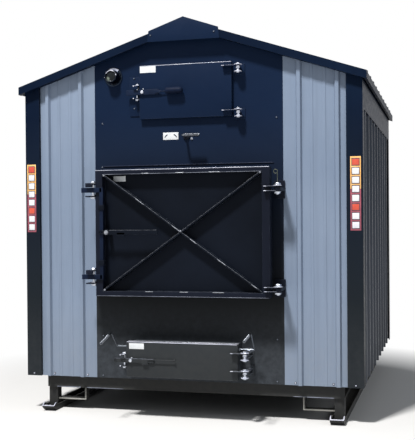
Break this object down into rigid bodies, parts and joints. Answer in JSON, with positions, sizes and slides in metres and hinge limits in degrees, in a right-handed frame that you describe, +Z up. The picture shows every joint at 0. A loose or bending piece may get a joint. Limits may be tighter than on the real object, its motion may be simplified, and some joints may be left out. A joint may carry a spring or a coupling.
{
  "type": "outdoor wood boiler",
  "caption": "Outdoor wood boiler in a gabled, ribbed-metal housing on skids, with hinged fire, clean-out and ash doors, lever latches, draft cranks, a damper handle, a lamp and a flue collar.",
  "frame": {"origin": "middle of the bounding box's footprint, on the ground under the skid runners", "axes": "+Z up, the doors face -Y, +X to the right when facing the doors"},
  "size_m": [2.216, 2.725, 2.62],
  "materials": {
    "black_coat": "semi-gloss powder coat",
    "grey_siding": "satin coil coating",
    "dark_siding": "satin coil coating",
    "steel": "mill finish",
    "sooty_plate": "hot-rolled plate with soot",
    "zinc": "bright zinc plating",
    "plate_metal": "satin",
    "insulation": "matt fibre wool",
    "firebrick": "matt refractory",
    "grate_iron": "as cast",
    "rope_seal": "braided glass rope",
    "lamp_chrome": "polished",
    "lamp_glass": "dark clear glass",
    "motor_black": "satin",
    "port_brass": "machined"
  },
  "bodies": {
    "boiler": {"base_frame": "black_coat", "skid_left": "black_coat", "skid_right": "black_coat", "corner_posts": "black_coat", "front_panel": "black_coat", "front_siding_left": "grey_siding", "front_siding_right": "grey_siding", "side_siding_left": "dark_siding", "side_siding_right": "dark_siding", "rear_siding": "dark_siding", "wall_frame": "steel", "roof_panel_left": "dark_siding", "roof_panel_right": "dark_siding", "ridge_cap": "black_coat", "rake_trims": "black_coat", "eave_trims": "black_coat", "plates": "plate_metal", "insulation": "insulation", "water_jacket": "steel", "firebox": "sooty_plate", "firebrick": "firebrick", "grate": "grate_iron", "ash_pan": "steel", "fire_neck": "black_coat", "ash_frame": "black_coat", "cleanout_box": "sooty_plate", "flue_tubes": "steel", "smoke_box": "sooty_plate", "roof_pipes": "steel", "fire_hinge_lugs": "black_coat", "fire_keepers": "black_coat", "small_hinge_lugs": "black_coat", "small_catches": "black_coat", "hinge_pins": "zinc", "keeper_bolts": "zinc", "damper_bushing": "zinc", "lamp_body": "lamp_chrome", "lamp_lens": "lamp_glass", "rear_hinges": "black_coat", "blower": "motor_black", "controller_box": "motor_black", "water_ports": "port_brass", "panel_screws": "zinc"},
    "fire_door": {"fire_door": "black_coat", "fire_door_liner": "firebrick", "fire_door_gasket": "rope_seal"},
    "lock_lever": {"lock_lever": "steel"},
    "lock_bar": {"lock_bar": "steel"},
    "clean_door": {"clean_door": "black_coat", "clean_seal": "rope_seal"},
    "clean_latch": {"clean_latch_lever": "steel"},
    "ash_door": {"ash_door": "black_coat", "ash_seal": "rope_seal"},
    "ash_latch": {"ash_latch_lever": "steel"},
    "draft": {"draft_shaft": "zinc", "crank_grips": "zinc"},
    "damper": {"damper_rod": "zinc", "damper_grip": "zinc"},
    "rear_door": {"rear_door": "black_coat"},
    "blower_wheel": {"blower_wheel": "zinc"}
  },
  "joints": [
    {"name": "fire_door_hinge", "type": "hinge", "parent": "boiler", "child": "fire_door", "pos_m": [0.597, -1.1505, 1.1], "axis": [0, 0, 1], "range_deg": [0, 110]},
    {"name": "lock_lever_pivot", "type": "hinge", "parent": "fire_door", "child": "lock_lever", "pos_m": [-0.468, -1.1655, 1.146], "axis": [0, 1, 0], "range_deg": [0, 25]},
    {"name": "lock_bar_slide", "type": "slide", "parent": "fire_door", "child": "lock_bar", "axis": [0, 0, 1], "range_m": [0, 0.0162]},
    {"name": "clean_door_hinge", "type": "hinge", "parent": "boiler", "child": "clean_door", "pos_m": [0.34, -1.0405, 2.015], "axis": [0, 0, 1], "range_deg": [0, 110]},
    {"name": "clean_latch_pivot", "type": "hinge", "parent": "clean_door", "child": "clean_latch", "pos_m": [-0.274, -1.0315, 2.016], "axis": [0, 1, 0], "range_deg": [0, 16]},
    {"name": "ash_door_hinge", "type": "hinge", "parent": "boiler", "child": "ash_door", "pos_m": [0.397, -1.1655, 0.367], "axis": [0, 0, 1], "range_deg": [0, 110]},
    {"name": "ash_latch_pivot", "type": "hinge", "parent": "ash_door", "child": "ash_latch", "pos_m": [-0.32, -1.1585, 0.362], "axis": [0, 1, 0], "range_deg": [0, 16]},
    {"name": "draft_turn", "type": "hinge", "parent": "boiler", "child": "draft", "pos_m": [0, -1.0775, 0.438], "axis": [-1, 0, 0], "range_deg": [-35, 0]},
    {"name": "damper_turn", "type": "hinge", "parent": "boiler", "child": "damper", "pos_m": [0, -0.7955, 1.736], "axis": [0, 1, 0], "range_deg": [0, 90]},
    {"name": "rear_door_hinge", "type": "hinge", "parent": "boiler", "child": "rear_door", "pos_m": [0.445, 1.3175, 1.02], "axis": [0, 0, -1], "range_deg": [0, 110]},
    {"name": "blower_spin", "type": "hinge", "parent": "boiler", "child": "blower_wheel", "pos_m": [-0.25, 1.1145, 0.4], "axis": [0, 1, 0], "continuous": true}
  ],
  "couplings": [
    {"joint": "lock_bar_slide", "follows": "lock_lever_pivot", "m_per_rad": 0.03668}
  ]
}
